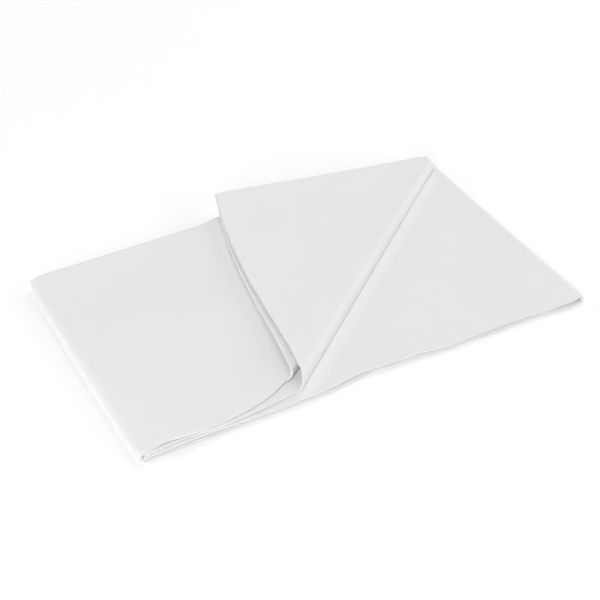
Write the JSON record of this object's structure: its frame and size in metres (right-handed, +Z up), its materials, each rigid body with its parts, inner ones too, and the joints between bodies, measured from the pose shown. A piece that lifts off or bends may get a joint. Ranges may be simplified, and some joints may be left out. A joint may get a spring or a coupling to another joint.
{
  "type": "folded long scarf",
  "caption": "Plain long scarf folded into a flat packet, with one corner of its upper plies turned back along a diagonal fold.",
  "frame": {"origin": "middle of the footprint, on the surface that the scarf lies on", "axes": "+X along the packet, +Y from the open near edges to the far edge, +Z up"},
  "size_m": [0.4482, 0.2932, 0.0217],
  "materials": {
    "cloth": "plain white soft cloth, matt, finely woven"
  },
  "bodies": {
    "root": {"scarf": "cloth"}
  },
  "joints": []
}
